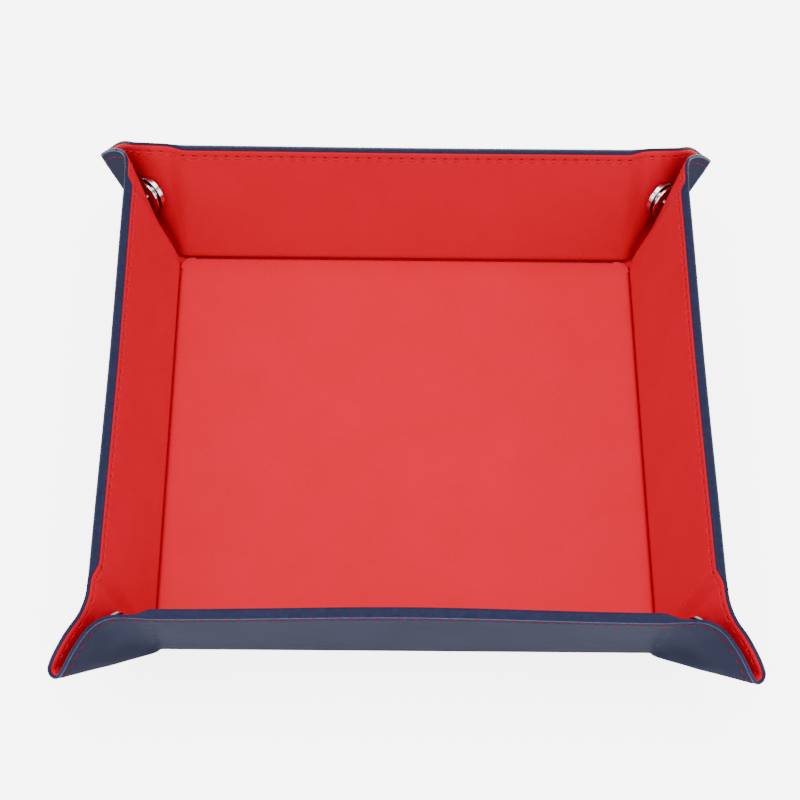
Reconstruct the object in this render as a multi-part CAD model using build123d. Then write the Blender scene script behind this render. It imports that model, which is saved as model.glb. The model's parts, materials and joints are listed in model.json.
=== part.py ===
from build123d import *
import os
from math import acos, asin, atan2, cos, degrees, radians, sin, sqrt, tan

# Folding dice tray, in millimetres. The sheet lies flat when it is open. Its four walls fold up
# and each corner is pinched into an ear, which a snap holds. The origin is at the centre of the
# underside, +Z is up and the back wall is on +Y. All parts are drawn flat and then folded.

# ---- sheet ----
BASE_SPAN = 168.0        # between opposite fold lines
WALL_HEIGHT = 46.0       # along the wall, from its fold line to its rim
WALL_ANGLE = 70.0        # of a raised wall, from the table
COVER = 0.8              # outer leather
BOARD = 1.8              # stiffener
LINING = 0.8             # inner leather

# ---- boards, clear of the folds ----
BASE_BOARD_SETBACK = 2.8      # board edge from the fold line
WALL_BOARD_HALF = 79.5        # half length of a wall board

# ---- pinched corner ----
EAR_OFFSET = 2.5         # leaf of the ear from the corner's diagonal plane, at the glue plane
BEND_SINK = 1.0          # axis of the bend below the glue plane, as the leather bends in a round
CREASE_OFFSET = 0.9      # end of the leaf from that plane, at the crease
CREASE_STRIP = 5.0       # width of the strip beside the crease
CREASE_START = 10.0      # where that strip starts, along the crease from the fold corner

# ---- gaps that let the leather turn ----
FOLD_GAP_COVER = 0.2
FOLD_GAP_LINING = 0.7
BEND_GAP = 0.2
CREASE_GAP = 0.25
DIAGONAL_GAP = 0.5

# ---- corner snap ----
SNAP_ALONG = 29.0        # of its centre, along the ear's bend line from the fold line
SNAP_ACROSS = 2.15       # of its centre, from the bend line into the ear
RING_RADIUS = 6.75
RING_HEIGHT = 1.7
RING_FLOOR = 0.4
SOCKET_RADIUS = 2.6
GROOVE_INNER = 3.7
GROOVE_OUTER = 5.5
GROOVE_DEPTH = 0.5
STUD_FLANGE_RADIUS = 6.5
STUD_FLANGE = 0.7
STUD_RADIUS = 2.2
STUD_HEIGHT = 2.6        # with its flange
RIVET_RADIUS = 1.6
RIVET_HEAD = 0.35
RIVET_BARREL_RADIUS = 1.1
RIVET_FLARE_RADIUS = 1.6
RIVET_FLARE = 0.2
RIVET_REACH = 0.8        # of the stud's rivet into the stud
FIT_GAP = 0.05
POCKET_GAP = 0.1
EDGE_ROUND = 0.5
FINE_ROUND = 0.25

FAR = 90.0               # beyond the sheet's edge, for cutting outlines

HALF = BASE_SPAN / 2
GLUE = COVER                               # height of the glue plane, where the leather turns
LEATHER_TOP = COVER + LINING
TOP = COVER + BOARD + LINING
BASE_BOARD_HALF = HALF - BASE_BOARD_SETBACK
WALL_BOARD_START = HALF + BASE_BOARD_SETBACK

LEAN = degrees(atan2(cos(radians(WALL_ANGLE)), 1))             # bend line from the wall's normal
BEND_TURN = degrees(acos(sin(radians(WALL_ANGLE)) / sqrt(2)))  # wall to ear
CREASE_TURN = degrees(asin((EAR_OFFSET - CREASE_OFFSET) / CREASE_STRIP))

CORNER = Vector(HALF, HALF)
BEND_DIRECTION = Vector(sin(radians(LEAN)), cos(radians(LEAN)))
BEND_SHIFT = BEND_SINK * tan(radians(BEND_TURN / 2))           # of its axis, towards the wall
CREASE_DIRECTION = Vector(sin(radians(45)), cos(radians(45)))

WALLS = {"back": 0, "right": -90, "front": 180, "left": 90}
NEXT_WALL = {"back": "right", "right": "front", "front": "left", "left": "back"}
SOCKET_WALLS = ("back", "front")

os.makedirs("parts", exist_ok=True)


def left_of(direction):
    """The unit vector a quarter turn anticlockwise from a direction in the sheet."""
    return Vector(-direction.Y, direction.X)


def meet(point, direction, other_point, other_direction):
    """Where two lines in the sheet cross."""
    across = left_of(other_direction)
    reach = (other_point - point).dot(across) / direction.dot(across)
    return point + direction * reach


def slab(points, bottom, thickness):
    """A flat plate with a polygonal outline, standing on the given height."""
    outline = make_face(Polyline(*[(p.X, p.Y) for p in points], close=True))
    return extrude(Pos(0, 0, bottom) * outline, thickness)


def block(x_low, x_high, y_low, y_high, bottom, top):
    """An upright block between limits on each axis."""
    size = (x_high - x_low, y_high - y_low, top - bottom)
    centre = ((x_low + x_high) / 2, (y_low + y_high) / 2, (bottom + top) / 2)
    return Pos(*centre) * Box(*size)


def disc(radius, bottom, top):
    """An upright cylinder on the snap's axis."""
    return Pos(0, 0, (bottom + top) / 2) * Cylinder(radius, top - bottom)


BEND_START = Vector(HALF - EAR_OFFSET * sqrt(2), HALF) + left_of(BEND_DIRECTION) * BEND_SHIFT
TIP_START = CORNER + left_of(CREASE_DIRECTION) * CREASE_STRIP

FOLD_AXIS = Axis((0, HALF, GLUE), (1, 0, 0))
BEND_AXIS = Axis((BEND_START.X, BEND_START.Y, GLUE - BEND_SINK), tuple(BEND_DIRECTION))
TIP_AXIS = Axis((TIP_START.X, TIP_START.Y, GLUE), tuple(CREASE_DIRECTION))

SHEET = extrude(RectangleRounded(*[BASE_SPAN + 2 * WALL_HEIGHT] * 2, WALL_HEIGHT), TOP)


# ---- flat outlines of the back wall and of the ear leaf at its right end ----
def wall_outline(fold_gap):
    """Between the fold line and the bend lines at both ends."""
    bend = BEND_START + left_of(BEND_DIRECTION) * BEND_GAP
    low = meet(Vector(0, HALF + fold_gap), Vector(1, 0), bend, BEND_DIRECTION)
    high = bend + BEND_DIRECTION * FAR
    return [Vector(-low.X, low.Y), low, high, Vector(-high.X, high.Y)]


def flap_outline():
    """The wedge between the bend line and the strip beside the crease."""
    bend = BEND_START - left_of(BEND_DIRECTION) * BEND_GAP
    strip = TIP_START + left_of(CREASE_DIRECTION) * CREASE_GAP
    root = meet(bend, BEND_DIRECTION, strip, CREASE_DIRECTION)
    return [root, strip + CREASE_DIRECTION * FAR, bend + BEND_DIRECTION * FAR]


def tip_outline():
    """The strip beside the crease, which starts clear of the bend line."""
    square = left_of(CREASE_DIRECTION)
    start = CORNER + CREASE_DIRECTION * CREASE_START
    end = CORNER + CREASE_DIRECTION * FAR
    outer = square * DIAGONAL_GAP
    inner = square * (CREASE_STRIP - CREASE_GAP)
    return [start + outer, end + outer, end + inner, start + inner]


def cover_plate(outline):
    """Outer leather, with the sheet's rounded corners."""
    return slab(outline, 0, COVER) & SHEET


def lining_plate(outline):
    """Inner leather, where it lies straight on the outer leather."""
    return slab(outline, GLUE, LINING) & SHEET


# ---- flat solids ----
def make_base():
    """Square bottom panel: the lining wraps over the board and down to the cover."""
    cover_half = HALF - FOLD_GAP_COVER
    hem_half = HALF - FOLD_GAP_LINING
    raised_half = BASE_BOARD_HALF + LINING
    board = block(-BASE_BOARD_HALF, BASE_BOARD_HALF, -BASE_BOARD_HALF, BASE_BOARD_HALF, GLUE, GLUE + BOARD)
    lining = block(-raised_half, raised_half, -raised_half, raised_half, GLUE, TOP)
    hem = block(-hem_half, hem_half, -hem_half, hem_half, GLUE, LEATHER_TOP)
    return {
        "base_cover": block(-cover_half, cover_half, -cover_half, cover_half, 0, COVER),
        "base_board": board,
        "base_lining": lining + hem - board,
    }


def make_wall():
    """Back wall: its board runs from the fold up to the rim."""
    rim = HALF + WALL_HEIGHT
    half = WALL_BOARD_HALF
    board = block(-half, half, WALL_BOARD_START, rim, GLUE, GLUE + BOARD)
    raised = block(-half - LINING, half + LINING, WALL_BOARD_START - LINING, rim, GLUE, TOP)
    lining = lining_plate(wall_outline(FOLD_GAP_LINING)) + raised - board
    return {
        "cover": cover_plate(wall_outline(FOLD_GAP_COVER)),
        "board": board,
        "lining": lining,
    }


def make_socket():
    """Ring half of the snap: a round rim, a groove and a hole with a floor."""
    top = LEATHER_TOP + RING_HEIGHT
    floor = LEATHER_TOP + RING_FLOOR
    ring = disc(RING_RADIUS, LEATHER_TOP, top)
    groove = disc(GROOVE_OUTER, top - GROOVE_DEPTH, top) - disc(GROOVE_INNER, top - GROOVE_DEPTH, top)
    ring = ring - groove - disc(SOCKET_RADIUS, floor, top)
    ring = fillet(ring.edges().filter_by(GeomType.CIRCLE).group_by(Axis.Z)[-1], FINE_ROUND)
    ring = fillet(ring.edges().filter_by(GeomType.CIRCLE).group_by(Axis.Z)[0], FINE_ROUND)
    return ring - disc(RIVET_BARREL_RADIUS + FIT_GAP, LEATHER_TOP, floor)


def make_stud():
    """Stud half of the snap: a thin flange and a round-nosed post."""
    flange_top = LEATHER_TOP + STUD_FLANGE
    flange = fillet(disc(STUD_FLANGE_RADIUS, LEATHER_TOP, flange_top).edges().sort_by(Axis.Z)[-1], FINE_ROUND)
    post = disc(STUD_RADIUS, LEATHER_TOP, LEATHER_TOP + STUD_HEIGHT)
    post = fillet(post.edges().sort_by(Axis.Z)[-1], EDGE_ROUND)
    bore = disc(RIVET_BARREL_RADIUS + FIT_GAP, LEATHER_TOP, LEATHER_TOP + RIVET_REACH + FIT_GAP)
    return flange + post - bore


def make_rivet(reach, flare):
    """Hidden rivet: a flat head under the lining and a barrel through it, flared at will."""
    barrel_top = LEATHER_TOP + reach
    rivet = disc(RIVET_RADIUS, GLUE - RIVET_HEAD, GLUE) + disc(RIVET_BARREL_RADIUS, GLUE, barrel_top)
    if flare:
        rivet += disc(RIVET_FLARE_RADIUS, barrel_top, barrel_top + RIVET_FLARE)
    return rivet


SNAP_CENTRE = BEND_START + BEND_DIRECTION * SNAP_ALONG - left_of(BEND_DIRECTION) * SNAP_ACROSS
SNAP_PLACE = Pos(SNAP_CENTRE.X, SNAP_CENTRE.Y, 0)


def make_leaf():
    """Leaf of the ear that belongs to one wall: leather only, holed for the snap's rivet."""
    pocket = disc(RIVET_RADIUS + POCKET_GAP, GLUE - RIVET_HEAD, GLUE)
    hole = disc(RIVET_BARREL_RADIUS + FIT_GAP, GLUE, LEATHER_TOP)
    return {
        "cover": cover_plate(flap_outline()) - SNAP_PLACE * pocket,
        "lining": lining_plate(flap_outline()) - SNAP_PLACE * hole,
    }


def make_tip():
    """Strip of both leathers beside the crease."""
    return {
        "cover": cover_plate(tip_outline()),
        "lining": lining_plate(tip_outline()),
    }


def make_snap(is_socket):
    """One half of a snap with its rivet, at its place on the leaf."""
    if is_socket:
        pair = {"snap_socket": make_socket(), "socket_rivet": make_rivet(RING_FLOOR, True)}
    else:
        pair = {"snap_stud": make_stud(), "stud_rivet": make_rivet(RIVET_REACH, False)}
    return {name: SNAP_PLACE * shape for name, shape in pair.items()}


# ---- folding, from the flat sheet to the raised tray ----
def fold_wall(shape):
    return shape.rotate(FOLD_AXIS, WALL_ANGLE)


def fold_flap(shape):
    return fold_wall(shape.rotate(BEND_AXIS, BEND_TURN))


def fold_tip(shape):
    return fold_flap(shape.rotate(TIP_AXIS, -CREASE_TURN))


def write(shape, node):
    export_step(shape, f"parts/{node}.step")


def write_wall(wall, quarter):
    """A wall with the ear leaves at both of its ends."""
    turn = Rot(0, 0, quarter)
    for layer, shape in make_wall().items():
        write(turn * fold_wall(shape), f"{wall}_wall_{layer}")

    leaf = {name: fold_flap(shape) for name, shape in make_leaf().items()}
    tip = {name: fold_tip(shape) for name, shape in make_tip().items()}
    snap = {name: fold_flap(shape) for name, shape in make_snap(wall in SOCKET_WALLS).items()}
    previous = next(name for name, after in NEXT_WALL.items() if after == wall)
    for side, mirrored in ((NEXT_WALL[wall], False), (previous, True)):
        def placed(shape):
            return turn * (shape.mirror(Plane.YZ) if mirrored else shape)

        for layer, shape in leaf.items():
            write(placed(shape), f"{wall}_ear_{side}_{layer}")
        write(Compound([placed(shape) for shape in tip.values()]), f"{wall}_tip_{side}")
        for name, shape in snap.items():
            write(placed(shape), f"{wall}_{name}_{side}")


for node, solid in make_base().items():
    write(solid, node)
for wall, quarter in WALLS.items():
    write_wall(wall, quarter)
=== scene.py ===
import json
import bpy
import numpy as np
from mathutils import Matrix, Vector


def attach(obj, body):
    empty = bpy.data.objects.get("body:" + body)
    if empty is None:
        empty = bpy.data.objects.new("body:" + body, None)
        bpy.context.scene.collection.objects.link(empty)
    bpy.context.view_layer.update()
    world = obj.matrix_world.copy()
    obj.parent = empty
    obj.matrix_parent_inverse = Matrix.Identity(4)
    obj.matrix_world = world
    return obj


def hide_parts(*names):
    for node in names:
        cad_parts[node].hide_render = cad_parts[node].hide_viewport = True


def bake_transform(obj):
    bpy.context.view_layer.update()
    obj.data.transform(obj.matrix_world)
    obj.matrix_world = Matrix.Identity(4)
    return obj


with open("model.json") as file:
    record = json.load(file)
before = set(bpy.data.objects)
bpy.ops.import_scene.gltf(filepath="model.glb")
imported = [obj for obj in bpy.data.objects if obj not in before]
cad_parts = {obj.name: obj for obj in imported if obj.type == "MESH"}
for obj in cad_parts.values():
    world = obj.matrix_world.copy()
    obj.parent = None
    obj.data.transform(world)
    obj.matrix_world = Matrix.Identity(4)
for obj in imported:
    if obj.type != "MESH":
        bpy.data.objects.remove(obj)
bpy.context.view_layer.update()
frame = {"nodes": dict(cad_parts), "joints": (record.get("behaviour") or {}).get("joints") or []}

# Folding dice tray. The leather is drawn flat, as (x, y, height) in the sheet of the back wall, and
# raise_sheet() folds it up. Every other wall is that one turned about Z, and the ear at a wall's
# left end is the mirror of the one at its right end. Lengths are in millimetres until to_metres().

# ---- from the frame ----
JOINTS = {joint["name"]: joint for joint in frame["joints"]}


def joint_turn(name):
    return np.radians(JOINTS[name]["range_deg"][1])


FOLD_TURN = joint_turn("back_fold")
BEND_TURN = joint_turn("back_ear_bend_right")
CREASE_TURN = joint_turn("back_crease_right")
HALF = 1000 * JOINTS["back_fold"]["pos_m"][1]        # from the middle to a fold line
GLUE = 1000 * JOINTS["back_fold"]["pos_m"][2]        # height of the plane where the leather turns

# ---- sheet ----
WALL_HEIGHT = 46.0
LEATHER = 0.8                 # each leather
BOARD = 1.8
GLUE_OVERLAP = 0.02           # of the two leathers, at the plane where they are glued
BOARD_SETBACK = 2.8           # a wall board's edge from the fold line
BOARD_RIM_GAP = 0.3           # and from the rim
WALL_BOARD_HALF = 79.5
RIM = HALF + WALL_HEIGHT

# ---- ear ----
EAR_OFFSET = 2.5              # leaf from the corner's diagonal plane
CREASE_STRIP = 5.0            # crease joint from the sheet's diagonal
BEND_SINK = 1.0               # axis of the bend below the glue plane
BEND_FOOT_HALF = 1.6          # half width of the round bend beside the wall, at the fold
BEND_RIM_HALF = 6.0           # and at the rim
FOLD_REACH = 0.9              # half widths over which each bend is shared by its two bodies
BEND_REACH = 2.8
CREASE_REACH = 3.2
LEAF_GAP = 0.02               # between the two leaves where they press together
FLOOR_SHARE = 0.4             # of a point's height in the sheet, its least height above the table
CORNER_BACK = 1.2             # how far a base corner's leather starts inside the corner
CORNER_OUT = 2.6              # and how far it runs out along the crease
CORNER_HALF_WIDTH = 1.4
EAR_SWELL = 1.8               # most that the ear's edge stands out beyond the round corner
GUSSET = 5.0                  # reach of the slack leather in the corner, out from the fold line
GUSSET_INSIDE = 0.3           # and in from it
GUSSET_FOOT = 3.6             # its width along the fold line
LEAF_END = 0.12               # height in a leaf's end face above which it is lining
MEND_REACH = 9.0              # how far the ear is drawn in to the base's corner

# ---- outer leather beside a wall board, from the wall's middle ----
BOARD_CREASE = 80.6
WRINKLES = 83.4

# ---- stitching ----
STITCHES = 30                 # from the middle of a wall to the crease
STITCH_INSET = 3.0
THREAD = 0.2                  # radius

WALLS = {"back": 0, "right": -90, "front": 180, "left": 90}
NEXT_WALL = {"back": "right", "right": "front", "front": "left", "left": "back"}
PINCH = {                     # share of the crease's turn, and width and rise of its round end
    "back": (1.0, 1.4, 0.95),
    "front": (0.3, 2.2, 2.05),
}
BOW = {"back": 0.3, "right": 0.4, "front": 1.2, "left": 0.4}   # inward, at the middle of the rim


# ---------------------------------------------------------------- geometry of the fold
def unit(vector):
    vector = np.asarray(vector, float)
    return vector / np.linalg.norm(vector)


def turn_about(points, origin, axis, angles):
    """Each point turned about one axis by its own angle."""
    axis = unit(axis)
    relative = points - origin
    cosine = np.cos(angles)[:, None]
    sine = np.sin(angles)[:, None]
    along = (relative @ axis)[:, None] * axis
    return origin + relative * cosine + np.cross(axis, relative) * sine + along * (1 - cosine)


def smooth(values):
    t = np.clip(values, 0, 1)
    return t * t * (3 - 2 * t)


LEAN = np.arctan(np.cos(FOLD_TURN))
CREASE = unit((1, 1, 0))
ACROSS_CREASE = unit((-1, 1, 0))
CORNER = np.array([HALF, HALF, GLUE])

FLAT_FOLD = (np.array([0.0, HALF, GLUE]), np.array([1.0, 0.0, 0.0]))
ACROSS_BEND = np.array([np.cos(LEAN), -np.sin(LEAN), 0])
BEND_SHIFT = BEND_SINK * np.tan(BEND_TURN / 2)
BEND_FOOT = np.array([HALF - EAR_OFFSET * np.sqrt(2), HALF, GLUE - BEND_SINK]) - ACROSS_BEND * BEND_SHIFT
FLAT_BEND = (BEND_FOOT, np.array([np.sin(LEAN), np.cos(LEAN), 0]))
FLAT_CREASE = (CORNER + ACROSS_CREASE * CREASE_STRIP, CREASE)


def full_turn(points, hinge, angle):
    return turn_about(np.atleast_2d(points), hinge[0], hinge[1], np.full(len(np.atleast_2d(points)), angle))


def raised_line(centre, direction, steps):
    """The middle and direction of a bend's blend line, folded by the given hinges in turn."""
    pair = np.array([centre, centre + direction])
    for hinge, angle in steps:
        pair = full_turn(pair, hinge, angle)
    return pair[0], unit(pair[1] - pair[0])


def across(hinge, angle):
    """The direction across a hinge, half way through its turn, away from the wall's middle."""
    axis = hinge[1]
    flat = unit((axis[1], -axis[0], 0))
    return turn_about(flat[None], np.zeros(3), axis, np.array([angle / 2]))[0]


FOLD_STEP = (FLAT_FOLD, FOLD_TURN)
BEND_STEP = (FLAT_BEND, BEND_TURN)
FOLD_LINE = (FLAT_FOLD[0], np.array([0, np.cos(FOLD_TURN / 2), np.sin(FOLD_TURN / 2)]))
BEND_LINE = raised_line(FLAT_BEND[0], across(FLAT_BEND, BEND_TURN), [FOLD_STEP])
CREASE_LINE = raised_line(FLAT_CREASE[0], across(FLAT_CREASE, -CREASE_TURN), [BEND_STEP, FOLD_STEP])


def weight(points, line, reach):
    return smooth(((points - line[0]) @ line[1] + reach) / (2 * reach))


def turned_in(points, width, rise):
    """The leather's round turn at the crease, which brings the two leaves together."""
    points = points.copy()
    inset = (points - CORNER) @ ACROSS_CREASE
    near = inset < width
    angle = np.pi / 2 * (1 - inset[near] / width)
    curve = np.stack([width * (1 - np.sin(angle)), rise * (1 - np.cos(angle))], 1)
    normal = np.stack([rise * np.sin(angle), width * np.cos(angle)], 1)
    normal /= np.linalg.norm(normal, axis=1)[:, None]
    height = points[near, 2] - GLUE
    curve += normal * height[:, None]
    points[near] += ACROSS_CREASE * (curve[:, :1] - inset[near][:, None])
    points[near, 2] = GLUE + curve[:, 1]
    return points


def rounded_bend(points):
    """The leather's round bend beside the wall, which widens from the fold to the rim."""
    relative = points - FLAT_BEND[0]
    aside = relative @ ACROSS_BEND
    rise = np.clip(relative @ FLAT_BEND[1] / WALL_HEIGHT, 0, 1)
    half = BEND_FOOT_HALF + (BEND_RIM_HALF - BEND_FOOT_HALF) * rise
    angle = BEND_TURN * np.clip((aside + half) / (2 * half), 0, 1)
    radius = half / np.tan(BEND_TURN / 2) + BEND_SINK
    outer = radius + relative[:, 2] - BEND_SINK
    before = np.minimum(aside + half, 0)
    beyond = np.maximum(aside - half, 0)
    new_aside = before - half + outer * np.sin(angle) + beyond * np.cos(BEND_TURN)
    new_height = BEND_SINK - radius + outer * np.cos(angle) - beyond * np.sin(BEND_TURN)
    moved = points + ACROSS_BEND * (new_aside - aside)[:, None]
    moved[:, 2] += new_height - relative[:, 2]
    return moved


def fold_up(flat, pinch):
    """Points of the right half of the back wall's sheet, folded with the weights that they get."""
    closing, width, rise = pinch
    drawn = turned_in(flat, width, rise)
    raised = flat.copy()
    share = [
        smooth((flat[:, 1] - HALF + FOLD_REACH) / (2 * FOLD_REACH)),
        smooth((CREASE_STRIP - (flat - CORNER) @ ACROSS_CREASE + CREASE_REACH) / (2 * CREASE_REACH)),
    ]
    for _ in range(24):
        raised = turn_about(drawn, FLAT_CREASE[0], FLAT_CREASE[1], -CREASE_TURN * closing * share[1])
        raised = rounded_bend(raised)
        raised = turn_about(raised, FLAT_FOLD[0], FLAT_FOLD[1], FOLD_TURN * share[0])
        found = [weight(raised, FOLD_LINE, FOLD_REACH), weight(raised, CREASE_LINE, CREASE_REACH)]
        share = [0.5 * old + 0.5 * new for old, new in zip(share, found)]
    return raised


def raise_sheet(flat, pinch, drawn_in=True):
    """Flat points to raised points, with the ear drawn in to the base's corner if asked."""
    flat = np.asarray(flat, float)
    side = np.where(flat[:, :1] < 0, -1.0, 1.0)
    right = flat * np.hstack([side, np.ones_like(side), np.ones_like(side)])
    raised = fold_up(right, pinch)
    foot = np.stack([np.minimum(right[:, 0], HALF), np.full(len(right), HALF), np.full(len(right), GLUE)], 1)
    reach = np.hypot(right[:, 0] - foot[:, 0], np.maximum(right[:, 1] - HALF, 0))
    pull = drawn_in * (1 - smooth(reach / MEND_REACH))
    in_wall = right[:, 1] > HALF - 0.01
    raised[in_wall] += ((foot - fold_up(foot, pinch)) * pull[:, None])[in_wall]
    apart = (raised - CORNER) @ ACROSS_CREASE
    ear = (right[:, 0] > WALL_BOARD_HALF) & (right[:, 1] > HALF) & (apart < LEAF_GAP)
    raised[ear] += ACROSS_CREASE * (LEAF_GAP - apart[ear])[:, None]
    raised[:, 2] = np.maximum(raised[:, 2], FLOOR_SHARE * flat[:, 2])
    raised[:, 0] *= side[:, 0]
    return raised


# ---------------------------------------------------------------- heights in the flat sheet
def ear_swell(x, y):
    """How far the sheet's edge stands out beyond the round corner, most of all at the bend."""
    angle = np.degrees(np.arctan2(np.abs(x) - HALF, np.maximum(y - HALF, 1)))
    return EAR_SWELL * smooth((angle + 6) / 22) * smooth((45 - angle) / 22) * (y > HALF)


def rim_distance(x, y):
    """Distance in from the sheet's edge, in the sector of the back wall."""
    beyond = np.abs(x) - HALF
    round_part = WALL_HEIGHT - np.hypot(np.maximum(beyond, 0), y - HALF)
    return np.where(beyond > 0, round_part, RIM - y) + ear_swell(x, y)


def base_panel(x, y):
    """0 to 1: where the base board lifts the lining."""
    radius = 6.0
    qx = np.abs(x) - (HALF - radius)
    qy = np.abs(y) - (HALF - radius)
    outside = np.hypot(np.maximum(qx, 0), np.maximum(qy, 0)) + np.minimum(np.maximum(qx, qy), 0) - radius
    return smooth((-outside - 0.4) / 1.7)


def wall_panel(x, y):
    """0 to 1: where a wall board lifts the lining."""
    up = smooth((y - HALF - 0.4) / 1.7)
    end = smooth((WALL_BOARD_HALF + 6.5 - np.abs(x)) / 6.4)
    return up * end


def seam_dip(x, y):
    """The dip that the stitching pulls along the rim."""
    return 0.16 * np.exp(-(((rim_distance(x, y) - STITCH_INSET) / 0.7) ** 2))


def skived(x, y):
    """0 to 1: towards the rim of an ear, where the leather is pared thin."""
    return (1 - smooth(rim_distance(x, y) / 3.0)) * (1 - wall_panel(x, y))


def lining_top(x, y):
    panel = np.where(y < HALF, base_panel(x, y), wall_panel(x, y))
    rounding = 0.25 * (1 - smooth(rim_distance(x, y) / 1.2))
    return 2 * LEATHER + BOARD * panel - seam_dip(x, y) - rounding - 0.2 * skived(x, y)


def hollow(x, y, centre, direction, length, width):
    """0 to 1: an oval dent in the sheet."""
    along = (x - centre[0]) * direction[0] + (y - centre[1]) * direction[1]
    aside = (x - centre[0]) * direction[1] - (y - centre[1]) * direction[0]
    return np.exp(-((along / length) ** 2) - (aside / width) ** 2)


def cover_bottom(x, y):
    """The outer leather: a groove along the seam, wrinkles at the board's end and hollows in the ear."""
    aside = np.abs(x)
    groove = 0.2 * np.exp(-(((rim_distance(x, y) - STITCH_INSET) / 0.5) ** 2))
    up = smooth((y - HALF - 3) / 10) * smooth((RIM - 4 - y) / 6)
    wave = np.sin(0.9 * y + 1.6 * np.sin(0.31 * y))
    board_end = np.exp(-(((aside - BOARD_CREASE - 0.35 * wave) / 1.1) ** 2)) * (0.46 + 0.10 * wave)
    wrinkle = np.exp(-(((aside - WRINKLES) / 2.2) ** 2)) * 0.08 * np.sin(2.1 * y + 0.8 * aside)
    ear = 0.52 * hollow(aside, y, (92.5, 104.0), (0.45, 0.89), 9.0, 3.4)
    ear -= 0.3 * hollow(aside, y, (98.5, 103.0), (0.57, 0.82), 8.0, 1.6)
    return groove + up * (board_end + wrinkle) + ear + 0.2 * skived(x, y)


# ---------------------------------------------------------------- meshes
def to_metres(points):
    return np.asarray(points) * 0.001


def turned(points, quarter):
    """Points of the back wall's sector, turned to another wall."""
    angle = np.radians(quarter)
    spin = np.array([[np.cos(angle), -np.sin(angle), 0], [np.sin(angle), np.cos(angle), 0], [0, 0, 1]])
    return points @ spin.T


def bowed(points, flat, wall):
    """A wall's gentle inward bow, widest at the middle of its rim."""
    shape = 1 - smooth(np.abs(flat[:, 0]) / WALL_BOARD_HALF)
    lift = np.clip((flat[:, 1] - HALF) / WALL_HEIGHT, 0, 1)
    inward = np.array([0, -np.sin(FOLD_TURN), np.cos(FOLD_TURN)])
    return points + inward * (BOW[wall] * shape * lift)[:, None]


def new_object(name, points, faces, material, smooth_faces=True, sharp=()):
    mesh = bpy.data.meshes.new(name)
    mesh.from_pydata([tuple(p) for p in to_metres(points)], [], [tuple(f) for f in faces])
    mesh.validate()
    mesh.update()
    mesh.materials.append(material)
    if smooth_faces:
        mesh.shade_smooth()
    if len(sharp):
        corners = {tuple(sorted(pair)) for pair in np.asarray(sharp).tolist()}
        for edge in mesh.edges:
            edge.use_edge_sharp = tuple(sorted(edge.vertices)) in corners
    piece = bpy.data.objects.new(name, mesh)
    bpy.context.scene.collection.objects.link(piece)
    return piece


def grid_faces(rows, columns, start=0):
    index = np.arange(rows * columns).reshape(rows, columns) + start
    return np.stack([index[:-1, :-1], index[:-1, 1:], index[1:, 1:], index[1:, :-1]], -1).reshape(-1, 4)


def shell(rows, columns):
    """Faces of a closed skin from a top grid and a bottom grid of the same size."""
    count = rows * columns
    top = grid_faces(rows, columns)
    bottom = grid_faces(rows, columns, count)[:, ::-1]
    index = np.arange(count).reshape(rows, columns)
    border = np.concatenate([index[0, :-1], index[:-1, -1], index[-1, :0:-1], index[:0:-1, 0]])
    after = np.roll(border, -1)
    sides = np.stack([border, border + count, after + count, after], 1)
    rims = np.concatenate([np.stack([border, after], 1), np.stack([border, after], 1) + count])
    return np.concatenate([top, bottom, sides]), rims


class Sector:
    """Places flat points on one wall's sector, at one of its ends."""

    def __init__(self, wall, beside="back", mirrored=False):
        self.wall = wall
        self.pinch = PINCH["front" if "front" in (wall, beside) else "back"]
        self.mirrored = mirrored

    def place(self, flat, drawn_in=True):
        flat = np.array(flat, float)
        if self.mirrored:
            flat = flat * (-1, 1, 1)
        raised = bowed(raise_sheet(flat, self.pinch, drawn_in), flat, self.wall)
        return turned(raised, WALLS[self.wall])

    def faces(self, faces):
        return faces[:, ::-1] if self.mirrored else faces


def skin(name, sector, x, y, top, bottom, material, drawn_in=True):
    """A closed leather skin over a grid of flat points, between two heights."""
    rows, columns = x.shape
    flat_top = np.stack([x, y, top], -1).reshape(-1, 3)
    flat_bottom = np.stack([x, y, bottom], -1).reshape(-1, 3)
    points = sector.place(np.concatenate([flat_top, flat_bottom]), drawn_in)
    faces, rims = shell(rows, columns)
    return new_object(name, points, sector.faces(faces), material, sharp=rims)


# Section of the painted edge: out from the rim, share of the sheet's thickness, and extra height.
BAND = [
    (-0.6, 0.0, -0.05), (-0.15, 0.0, -0.12), (0.14, 0.0, -0.03), (0.26, 0.25, 0),
    (0.3, 0.5, 0), (0.26, 0.75, 0), (0.14, 1.0, 0.03), (-0.15, 1.0, 0.12),
    (-0.6, 1.0, 0.05), (-0.7, 1.0, -0.3), (-0.7, 0.0, 0.3),
]


def edge_band(name, sector, x, y, material):
    """Painted edge along a run of the rim: rounded over the cut layers of the sheet."""
    beyond = np.maximum(np.abs(x) - HALF, 0) * np.sign(x)
    outward = np.stack([beyond, y - HALF], 1)
    outward /= np.linalg.norm(outward, axis=1)[:, None]
    low = cover_bottom(x, y)
    thickness = lining_top(x, y) - low
    rings = []
    for out, share, extra in BAND:
        height = low + thickness * share + extra
        rings.append(np.stack([x + outward[:, 0] * out, y + outward[:, 1] * out, height], 1))
    flat = np.stack(rings, 1)
    count, sides = flat.shape[:2]
    points = sector.place(flat.reshape(-1, 3))
    index = np.arange(count * sides).reshape(count, sides)
    around = np.roll(index, -1, axis=1)
    faces = np.stack([index[:-1], around[:-1], around[1:], index[1:]], -1).reshape(-1, 4)
    faces = [list(f) for f in sector.faces(faces)]
    first = list(index[0])
    last = list(index[-1])
    faces.append(first if sector.mirrored else first[::-1])
    faces.append(last[::-1] if sector.mirrored else last)
    return new_object(name, points, faces, material)


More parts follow.
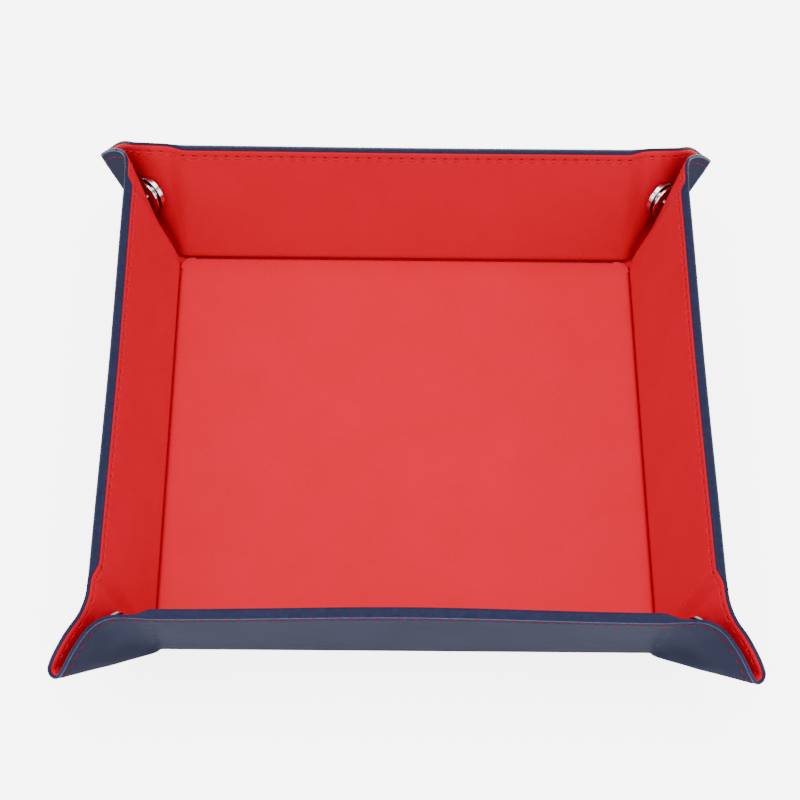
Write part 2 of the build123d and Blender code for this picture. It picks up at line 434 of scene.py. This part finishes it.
# ---------------------------------------------------------------- stitching
SEAM_RADIUS = WALL_HEIGHT - STITCH_INSET
SEAM_HALF = HALF + SEAM_RADIUS * np.pi / 4
PITCH = SEAM_HALF / STITCHES


def seam_point(along, aside):
    """Flat point on the seam, a distance along it from the wall's middle, and aside towards the rim."""
    along = np.asarray(along, float)
    side = np.sign(along)
    length = np.abs(along)
    angle = np.maximum(length - HALF, 0) / SEAM_RADIUS
    radius = SEAM_RADIUS + aside
    swell = ear_swell(np.minimum(length, HALF) + radius * np.sin(angle), HALF + radius * np.cos(angle))
    x = np.minimum(length, HALF) + (radius + swell) * np.sin(angle)
    y = HALF + (radius + swell) * np.cos(angle)
    return x * side, y


def stitch_parts(positions, length, sag, radius, surface, side):
    """Threads between needle holes: a tube for each stitch, sinking into the leather at both ends."""
    steps = np.linspace(-1, 1, 11)
    around = np.linspace(0, 2 * np.pi, 9)[:-1]
    flats = []
    faces = []
    for centre in positions:
        start = sum(len(f) for f in flats)
        ring = []
        for t in steps:
            taper = np.sqrt(max(1 - abs(t) ** 6, 0.04))
            along = centre + 0.5 * length * t + 0 * around
            aside = -sag * (1 - t * t) + radius * taper * np.cos(around)
            x, y = seam_point(along, aside)
            lift = 0.75 * radius - 1.25 * radius * t ** 4
            height = surface(x, y) + side * (lift + radius * taper * np.sin(around))
            ring.append(np.stack([x, y, height], 1))
        flats.append(np.concatenate(ring))
        index = np.arange(len(steps) * len(around)).reshape(len(steps), -1) + start
        after = np.roll(index, -1, axis=1)
        tube = np.stack([index[:-1], index[1:], after[1:], after[:-1]], -1).reshape(-1, 4)
        faces += [list(face) for face in tube]
        faces.append(list(index[0]))
        faces.append(list(index[-1][::-1]))
    return np.concatenate(flats), faces


def stitches(name, sector, positions, inside):
    """Lockstitch on one face of the sheet, along part of the seam."""
    if inside:
        points, faces = stitch_parts(positions, 0.72 * PITCH, 0.38, THREAD, lining_top, 1)
    else:
        points, faces = stitch_parts(positions, 0.72 * PITCH, 0.0, 0.8 * THREAD, cover_bottom, -1)
    if sector.mirrored:
        faces = [face[::-1] for face in faces]
    # The outer stitches take the darker copy of the red thread: painted shade, not a second thread colour.
    return new_object(name, sector.place(points), faces, THREAD_RED if inside else THREAD_RED_SHADED)


def needle_hole_shades(name, sector, positions, material):
    """Painted shade: dark discs on the lining beside each stitch, standing in for the shadow inside the
    needle holes.
    """
    angles = np.linspace(0, 2 * np.pi, 13)[:-1]
    flats = []
    faces = []
    for centre in positions:
        start = 14 * len(flats)
        x, y = seam_point(centre + 0.62 * np.cos(angles), 0.52 + 0.2 * np.sin(angles))
        rim = np.stack([x, y, lining_top(x, y) + 0.02], 1)
        mx, my = seam_point(np.array([centre, centre]), 0.52)
        middle = np.stack([mx, my, lining_top(mx, my) + np.array([0.05, -0.1])], 1)
        flats.append(np.concatenate([rim, middle]))
        ring = np.arange(12) + start
        after = np.roll(ring, -1)
        faces += [[a, b, start + 12] for a, b in zip(ring, after)]
        faces += [[b, a, start + 13] for a, b in zip(ring, after)]
    return new_object(name, sector.place(np.concatenate(flats)), faces, material)


# ---------------------------------------------------------------- materials
def base_material(name):
    material = bpy.data.materials.new(name)
    material.use_nodes = True
    return material, material.node_tree.nodes, material.node_tree.links


def node(nodes, kind, **values):
    made = nodes.new(kind)
    for key, value in values.items():
        made.inputs[key.replace("_", " ")].default_value = value
    return made


def leather(name, colours, roughness, grain=900.0, bump=0.12, specular=0.3):
    """Leatherette: fine pebble grain, soft mottling and a satin finish."""
    material, nodes, links = base_material(name)
    shader = nodes["Principled BSDF"]
    shader.inputs["Roughness"].default_value = roughness
    shader.inputs["Specular IOR Level"].default_value = specular
    place = nodes.new("ShaderNodeTexCoord")
    mottle = node(nodes, "ShaderNodeTexNoise", Scale=45.0, Detail=4.0, Roughness=0.6)
    ramp = nodes.new("ShaderNodeValToRGB")
    ramp.color_ramp.elements[0].position = 0.3
    ramp.color_ramp.elements[0].color = (*colours[0], 1)
    ramp.color_ramp.elements[1].position = 0.7
    ramp.color_ramp.elements[1].color = (*colours[1], 1)
    pebble = node(nodes, "ShaderNodeTexVoronoi", Scale=grain)
    pebble.feature = "SMOOTH_F1"
    fine = node(nodes, "ShaderNodeTexNoise", Scale=grain * 2.6, Detail=3.0, Roughness=0.6)
    mix = nodes.new("ShaderNodeMath")
    mix.operation = "MULTIPLY_ADD"
    mix.inputs[1].default_value = 0.5
    relief = node(nodes, "ShaderNodeBump", Strength=bump, Distance=0.0004)
    links.new(place.outputs["Object"], mottle.inputs["Vector"])
    links.new(place.outputs["Object"], pebble.inputs["Vector"])
    links.new(place.outputs["Object"], fine.inputs["Vector"])
    links.new(mottle.outputs["Fac"], ramp.inputs["Fac"])
    links.new(ramp.outputs["Color"], shader.inputs["Base Color"])
    links.new(fine.outputs["Fac"], mix.inputs[0])
    links.new(pebble.outputs["Distance"], mix.inputs[2])
    links.new(mix.outputs["Value"], relief.inputs["Height"])
    links.new(relief.outputs["Normal"], shader.inputs["Normal"])
    return material


def plain(name, colours, roughness, metallic=0.0, scale=300.0, bump=0.05, specular=0.4):
    """Paint, thread, card and metal: a broken colour over fine noise."""
    material, nodes, links = base_material(name)
    shader = nodes["Principled BSDF"]
    shader.inputs["Roughness"].default_value = roughness
    shader.inputs["Metallic"].default_value = metallic
    shader.inputs["Specular IOR Level"].default_value = specular
    place = nodes.new("ShaderNodeTexCoord")
    noise = node(nodes, "ShaderNodeTexNoise", Scale=scale, Detail=3.0, Roughness=0.6)
    ramp = nodes.new("ShaderNodeValToRGB")
    ramp.color_ramp.elements[0].position = 0.32
    ramp.color_ramp.elements[0].color = (*colours[0], 1)
    ramp.color_ramp.elements[1].position = 0.68
    ramp.color_ramp.elements[1].color = (*colours[1], 1)
    relief = node(nodes, "ShaderNodeBump", Strength=bump, Distance=0.0002)
    links.new(place.outputs["Object"], noise.inputs["Vector"])
    links.new(noise.outputs["Fac"], ramp.inputs["Fac"])
    links.new(ramp.outputs["Color"], shader.inputs["Base Color"])
    links.new(noise.outputs["Fac"], relief.inputs["Height"])
    links.new(relief.outputs["Normal"], shader.inputs["Normal"])
    return material


NAVY = leather("navy_leather", [(0.0095, 0.0105, 0.0200), (0.0120, 0.0130, 0.0245)], 0.5, specular=0.0018)
RED = leather("red_leather", [(0.49, 0.0002, 0.014), (0.51, 0.0004, 0.018)], 0.5, bump=0.08, specular=0.035)
EDGE = plain("edge_paint", [(0.012, 0.0135, 0.036), (0.016, 0.018, 0.045)], 0.35, scale=500.0, specular=0.03)
THREAD_RED = plain("red_thread", [(0.36, 0.004, 0.012), (0.50, 0.012, 0.03)], 0.7, scale=2500.0,
                   bump=0.4, specular=0.03)
# Painted shade: the same red thread as on the lining, in a darker copy for the outer face of the walls,
# standing in for the shade that falls there.
THREAD_RED_SHADED = plain("red_thread_painted_shade", [(0.10, 0.002, 0.011), (0.16, 0.005, 0.022)], 0.7, scale=2500.0,
                    bump=0.4, specular=0.02)
# Painted shade: the near-black red of the needle holes stands in for the shadow inside them, not for the
# leather's own colour.
HOLE_SHADE = plain("needle_hole_painted_shade", [(0.05, 0.0, 0.002), (0.08, 0.001, 0.003)], 0.9)
CARD = plain("grey_board", [(0.42, 0.37, 0.30), (0.50, 0.45, 0.37)], 0.9, scale=900.0, bump=0.3)
CHROME = plain("snap_chrome", [(0.60, 0.60, 0.61), (0.68, 0.68, 0.69)], 0.12, 1.0, scale=200.0, bump=0.02)


# ---------------------------------------------------------------- pieces
def spaced(*stops):
    """Rising values through (start, end, count) stretches."""
    parts = [np.linspace(a, b, n, endpoint=False) for a, b, n in stops]
    return np.append(np.concatenate(parts), stops[-1][1])


# Slot, lower and upper height in the sheet, and material.
GUSSET_LAYERS = (("lining", 0.82, 1.35, RED), ("cover", 0.3, 0.8, NAVY))
CORNER_LAYERS = (("lining", 0.72, 1.15, RED), ("cover", 0.1, 0.7, NAVY))

BASE_EDGE = HALF - 4.0          # where the folding strips start
WALL_END = BEND_FOOT[0] - BEND_REACH / np.cos(LEAN) - 0.2
WALL_END_LEAN = np.radians(15)
UP_WALL = spaced((0, 0.3, 3), (0.3, 2.2, 11), (2.2, 8.0, 6), (8.0, 41.0, 22), (41.0, 45.0, 12),
                 (45.0, WALL_HEIGHT, 4))


def wall_end(y):
    """Half length of the wall's own skin."""
    return WALL_END + np.maximum(y - HALF, 0) * np.tan(WALL_END_LEAN)


def wall_grid():
    """The wall with its fold strip. Its columns lean over towards both ends."""
    foot = np.linspace(-WALL_END, WALL_END, 111)
    lean = np.sign(foot) * WALL_END_LEAN * smooth((np.abs(foot) / WALL_END - 0.6) / 0.4)
    x, y = column_grid(np.stack([foot, lean], 1))
    strip = HALF + spaced((-4.0, -2.2, 2), (-2.2, -0.3, 11), (-0.3, 0.0, 3))[:-1]
    strip_x, strip_y = np.meshgrid(foot, strip)
    return np.concatenate([strip_x, x]), np.concatenate([strip_y, y])


# Columns of the ear: each is a straight line from its foot on the fold line, with its own lean.
SPLIT_FOOT = HALF - 2.0
SPLIT_LEAN = np.radians(24)


def ear_columns(turn_width):
    """Foot and lean of the columns of the bend piece and of the leaf piece."""
    share = np.linspace(0, 1, 23)
    lean = WALL_END_LEAN + share * (SPLIT_LEAN - WALL_END_LEAN)
    bend = np.stack([WALL_END + share * (SPLIT_FOOT - WALL_END), lean], 1)
    share = np.linspace(0, 1, 27)
    fan_foot = HALF - turn_width * np.sqrt(2)
    fan_lean = SPLIT_LEAN + share * (np.pi / 4 - SPLIT_LEAN)
    fan = np.stack([SPLIT_FOOT + share * (fan_foot - SPLIT_FOOT), fan_lean], 1)
    angle = np.linspace(0, np.pi / 2, 11)[1:]
    turn_foot = HALF - turn_width * np.sqrt(2) * (1 - angle / (np.pi / 2))
    turn = np.stack([turn_foot, np.full(len(angle), np.pi / 4)], 1)
    return bend, np.concatenate([fan, turn])


def rim_reach(foot, lean):
    """How far a column runs from the fold line to the rim."""
    straight = WALL_HEIGHT / np.cos(lean)
    offset = np.abs(foot) - HALF
    along = offset * np.sin(np.abs(lean))
    arc = -along + np.sqrt(np.maximum(along ** 2 + WALL_HEIGHT ** 2 - offset ** 2, 0))
    reach = np.where(np.abs(foot + straight * np.sin(lean)) > HALF, arc, straight)
    for _ in range(8):
        reach = reach + rim_distance(foot + reach * np.sin(lean), HALF + reach * np.cos(lean))
    return reach


def column_grid(columns):
    foot, lean = columns.T
    share = UP_WALL / WALL_HEIGHT
    reach = share[:, None] * rim_reach(foot, lean)[None]
    return foot + reach * np.sin(lean), HALF + reach * np.cos(lean)


def finish_piece(piece):
    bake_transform(piece)


def make_base():
    """Base panel: lining, board and cover, with the fold strips left to the walls."""
    lines = spaced((-HALF, -HALF + 0.3, 2), (-HALF + 0.3, -HALF + 2.2, 10), (-HALF + 2.2, -BASE_EDGE, 4),
                   (-BASE_EDGE, -WALL_END, 5), (-WALL_END, WALL_END, 60), (WALL_END, BASE_EDGE, 5),
                   (BASE_EDGE, HALF - 2.2, 4), (HALF - 2.2, HALF - 0.3, 10), (HALF - 0.3, HALF, 2))
    x, y = np.meshgrid(lines, lines)
    size = len(lines)
    middle = (lines[:-1] + lines[1:]) / 2
    in_strip = (np.abs(middle)[:, None] > BASE_EDGE) & (np.abs(middle)[None] < WALL_END)
    keep = ~(in_strip | in_strip.T).reshape(-1)
    cells = grid_faces(size, size)[keep]
    used = np.unique(cells)
    cells = np.searchsorted(used, cells)
    border = border_edges(cells)
    count = len(used)
    faces = np.concatenate([cells, cells[:, ::-1] + count, np.stack(
        [border[:, 1], border[:, 0], border[:, 0] + count, border[:, 1] + count], 1)])
    panel = BOARD * base_panel(x, y)
    glue = np.full_like(x, LEATHER)
    for slot, top, bottom, material in (
        ("lining", 2 * LEATHER + panel, LEATHER + panel, RED),
        ("cover", glue, np.zeros_like(x), NAVY),
    ):
        upper = np.stack([x, y, top], -1).reshape(-1, 3)
        lower = np.stack([x, y, bottom], -1).reshape(-1, 3)
        points = np.concatenate([upper[used], lower[used]])
        rims = np.concatenate([border, border + count])
        piece = new_object(f"base_{slot}_skin", points, faces, material, sharp=rims)
        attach(piece, "base")
        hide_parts(f"base_{slot}")


def make_corners():
    """The leather at each base corner, hidden between the leaves when the tray is raised."""
    along, aside = np.meshgrid(np.linspace(-CORNER_BACK, CORNER_OUT, 5),
                               np.linspace(-CORNER_HALF_WIDTH, CORNER_HALF_WIDTH, 5))
    x = (HALF + (along - aside) * np.sqrt(0.5)).reshape(-1)
    y = (HALF + (along + aside) * np.sqrt(0.5)).reshape(-1)
    faces, rims = shell(*along.shape)
    for wall, quarter in WALLS.items():
        for slot, low, high, material in CORNER_LAYERS:
            levels = [np.stack([x, y, np.full_like(x, height)], 1) for height in (high, low)]
            points = np.concatenate(levels)
            points = turned(points, quarter)
            piece = new_object(f"base_corner_{wall}_{slot}", points, faces, material, sharp=rims)
            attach(piece, "base")


def border_edges(cells):
    """The edges that belong to one cell only."""
    edges = set()
    for cell in cells.tolist():
        for pair in zip(cell, cell[1:] + cell[:1]):
            if pair[::-1] in edges:
                edges.remove(pair[::-1])
            else:
                edges.add(pair)
    return np.array(sorted(edges))


def make_board(name, body, flat_box, sector, cad):
    """Stiffener between the leathers, which follows its wall's bow."""
    (x_low, x_high), (y_low, y_high) = flat_box
    x, y = np.meshgrid(np.linspace(x_low, x_high, 25), np.linspace(y_low, y_high, 9))
    ones = np.ones_like(x)
    piece = skin(name, sector, x, y, ones * (GLUE + BOARD - 0.05), ones * (GLUE + 0.05), CARD)
    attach(piece, body)
    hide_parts(cad)


def make_wall(wall):
    sector = Sector(wall)
    x, y = wall_grid()
    top = lining_top(x, y)
    glue = np.full_like(x, LEATHER)
    places = (np.arange(-STITCHES, STITCHES) + 0.5) * PITCH
    seam_x, seam_y = seam_point(places, 0.0)
    here = places[np.abs(seam_x) <= wall_end(seam_y)]
    pieces = {
        "lining": skin(f"{wall}_wall_lining_skin", sector, x, y, top, top - LEATHER + GLUE_OVERLAP, RED),
        "cover": skin(f"{wall}_wall_cover_skin", sector, x, y, glue - GLUE_OVERLAP, cover_bottom(x, y), NAVY),
        "edge_paint": edge_band(f"{wall}_wall_edge", sector, x[-1], y[-1], EDGE),
        "thread": stitches(f"{wall}_wall_stitches", sector, here, True),
        "thread.outer": stitches(f"{wall}_wall_outer_stitches", sector, here, False),
        "lining.holes": needle_hole_shades(f"{wall}_wall_needle_holes", sector, here, HOLE_SHADE),
    }
    for slot, piece in pieces.items():
        finish_piece(piece)
    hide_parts(f"{wall}_wall_lining")
    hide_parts(f"{wall}_wall_cover")
    box = ((-WALL_BOARD_HALF, WALL_BOARD_HALF), (HALF + BOARD_SETBACK, RIM - BOARD_RIM_GAP))
    make_board(f"{wall}_wall_board_skin", f"{wall}_wall", box, sector, f"{wall}_wall_board")


def split_x(y):
    return SPLIT_FOOT + (y - HALF) * np.tan(SPLIT_LEAN)


def make_gusset(wall, side, mirrored):
    """Slack leather in the corner below the ear, which shows when the sheet lies open."""
    sector = Sector(wall, side, mirrored)
    share = np.linspace(0, 1, 13)
    foot, reach = np.meshgrid(HALF - GUSSET_FOOT * (1 - share), np.linspace(-GUSSET_INSIDE, GUSSET, 11))
    lean = np.repeat((LEAN + share * (np.pi / 4 - LEAN))[None], len(reach), 0)
    x = foot + reach * np.sin(lean)
    y = HALF + reach * np.cos(lean)
    ones = np.ones_like(x)
    for slot, low, high, material in GUSSET_LAYERS:
        name = f"{wall}_gusset_{side}_{slot}"
        piece = skin(name, sector, x, y, ones * high, ones * low, material, drawn_in=False)
        finish_piece(piece)


def make_ear(wall, side, mirrored):
    """Both pieces of one leaf: the bend beside the wall and the leaf up to the crease."""
    sector = Sector(wall, side, mirrored)
    ear = f"{wall}_ear_{side}"
    tip = f"{wall}_tip_{side}"
    places = (np.arange(STITCHES) + 0.5) * PITCH
    seam_x, seam_y = seam_point(places, 0.0)
    beyond_wall = seam_x > wall_end(seam_y)
    in_leaf = seam_x > split_x(seam_y)
    bend_columns, leaf_columns = ear_columns(sector.pinch[1])
    for part, columns, pair, line, reach, here in (
        ("bend", bend_columns, (f"{wall}_wall", ear), BEND_LINE, BEND_REACH, places[beyond_wall & ~in_leaf]),
        ("leaf", leaf_columns, (ear, tip), CREASE_LINE, CREASE_REACH, places[in_leaf]),
    ):
        x, y = column_grid(columns)
        top = lining_top(x, y)
        glue = np.full_like(x, LEATHER)
        under = top - LEATHER + GLUE_OVERLAP
        if part == "leaf":
            glue[:, -1] = LEAF_END + GLUE_OVERLAP
            under[:, -1] = LEAF_END
        name = f"{wall}_{part}_{side}"
        pieces = {
            "lining": skin(f"{name}_lining", sector, x, y, top, under, RED),
            "cover": skin(f"{name}_cover", sector, x, y, glue - GLUE_OVERLAP, cover_bottom(x, y), NAVY),
            "edge_paint": edge_band(f"{name}_edge", sector, x[-1], y[-1], EDGE),
            "thread": stitches(f"{name}_stitches", sector, here, True),
            "thread.outer": stitches(f"{name}_outer_stitches", sector, here, False),
            "lining.holes": needle_hole_shades(f"{name}_needle_holes", sector, here, HOLE_SHADE),
        }
        for slot, piece in pieces.items():
            finish_piece(piece)
        if part == "leaf":
            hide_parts(f"{ear}_lining", tip)
            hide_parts(f"{ear}_cover")


make_base()
make_corners()
for wall, after in NEXT_WALL.items():
    before = next(name for name, follows in NEXT_WALL.items() if follows == wall)
    make_wall(wall)
    make_ear(wall, after, False)
    make_ear(wall, before, True)
    make_gusset(wall, after, False)
    make_gusset(wall, before, True)

for name, found in frame["nodes"].items():
    if "snap_" in name or "rivet" in name:
        for slot in found.material_slots:
            slot.material = CHROME
    if name == "base_board":
        for slot in found.material_slots:
            slot.material = CARD


# ---------------------------------------------------------------- studio
CAMERA_PLACE = (-0.0129, -0.5138, 0.6972)   # in metres
CAMERA_TURN = (52.58, 1.19, 1.48)            # pitch down, yaw and roll, in degrees
CAMERA_LENS = 111.5


def make_camera():
    """At the photograph's viewing angle: from the front and above."""
    place = Vector(CAMERA_PLACE)
    pitch, yaw, roll = np.radians(CAMERA_TURN)
    ahead = np.array([np.sin(yaw) * np.cos(pitch), np.cos(yaw) * np.cos(pitch), -np.sin(pitch)])
    right = np.array([np.cos(yaw), -np.sin(yaw), 0])
    up = np.cross(right, ahead)
    right, up = right * np.cos(roll) + up * np.sin(roll), up * np.cos(roll) - right * np.sin(roll)
    data = bpy.data.cameras.new("camera")
    data.sensor_width = 36.0
    data.lens = CAMERA_LENS
    data.clip_end = 20.0
    camera = bpy.data.objects.new("camera", data)
    turn = Matrix((right, up, -ahead)).transposed().to_4x4()
    camera.matrix_world = Matrix.Translation(place) @ turn
    bpy.context.scene.collection.objects.link(camera)
    bpy.context.scene.camera = camera


def area_light(name, place, target, size, power):
    data = bpy.data.lights.new(name, "AREA")
    data.shape = "SQUARE"
    data.size = size
    data.energy = power
    lamp = bpy.data.objects.new(name, data)
    lamp.location = place
    lamp.rotation_euler = (Vector(target) - Vector(place)).to_track_quat("-Z", "Y").to_euler()
    bpy.context.scene.collection.objects.link(lamp)


FLOOR_HALF = 3000.0
FLOOR_LEVEL = -0.3            # just clear of the tray's underside
FLOOR_GLOW = 4.8


def make_studio():
    colours = [(0.93, 0.93, 0.93), (0.95, 0.95, 0.95)]
    floor_material = plain("pale_floor", colours, 0.9, scale=3.0, bump=0.0, specular=0.0)
    shader = floor_material.node_tree.nodes["Principled BSDF"]
    shader.inputs["Emission Color"].default_value = (1, 1, 1, 1)
    shader.inputs["Emission Strength"].default_value = FLOOR_GLOW
    corners = [(x * FLOOR_HALF, y * FLOOR_HALF, FLOOR_LEVEL) for x, y in ((-1, -1), (1, -1), (1, 1), (-1, 1))]
    new_object("floor", np.array(corners), [(0, 1, 2, 3)], floor_material, False)
    area_light("overhead", (0.0, 0.1, 1.3), (0, 0, 0), 1.4, 30)
    area_light("left_window", (-1.0, -0.5, 0.9), (0, 0, 0.02), 0.9, 6)
    area_light("right_fill", (1.0, -0.6, 0.7), (0, 0, 0.02), 0.9, 6)
    area_light("front_fill", (0.0, -1.3, 0.35), (0, 0, 0.02), 1.0, 5)
    world = bpy.context.scene.world or bpy.data.worlds.new("studio")
    bpy.context.scene.world = world
    world.use_nodes = True
    background = world.node_tree.nodes["Background"]
    background.inputs["Color"].default_value = (1, 1, 1, 1)
    background.inputs["Strength"].default_value = 0.8


make_camera()
make_studio()
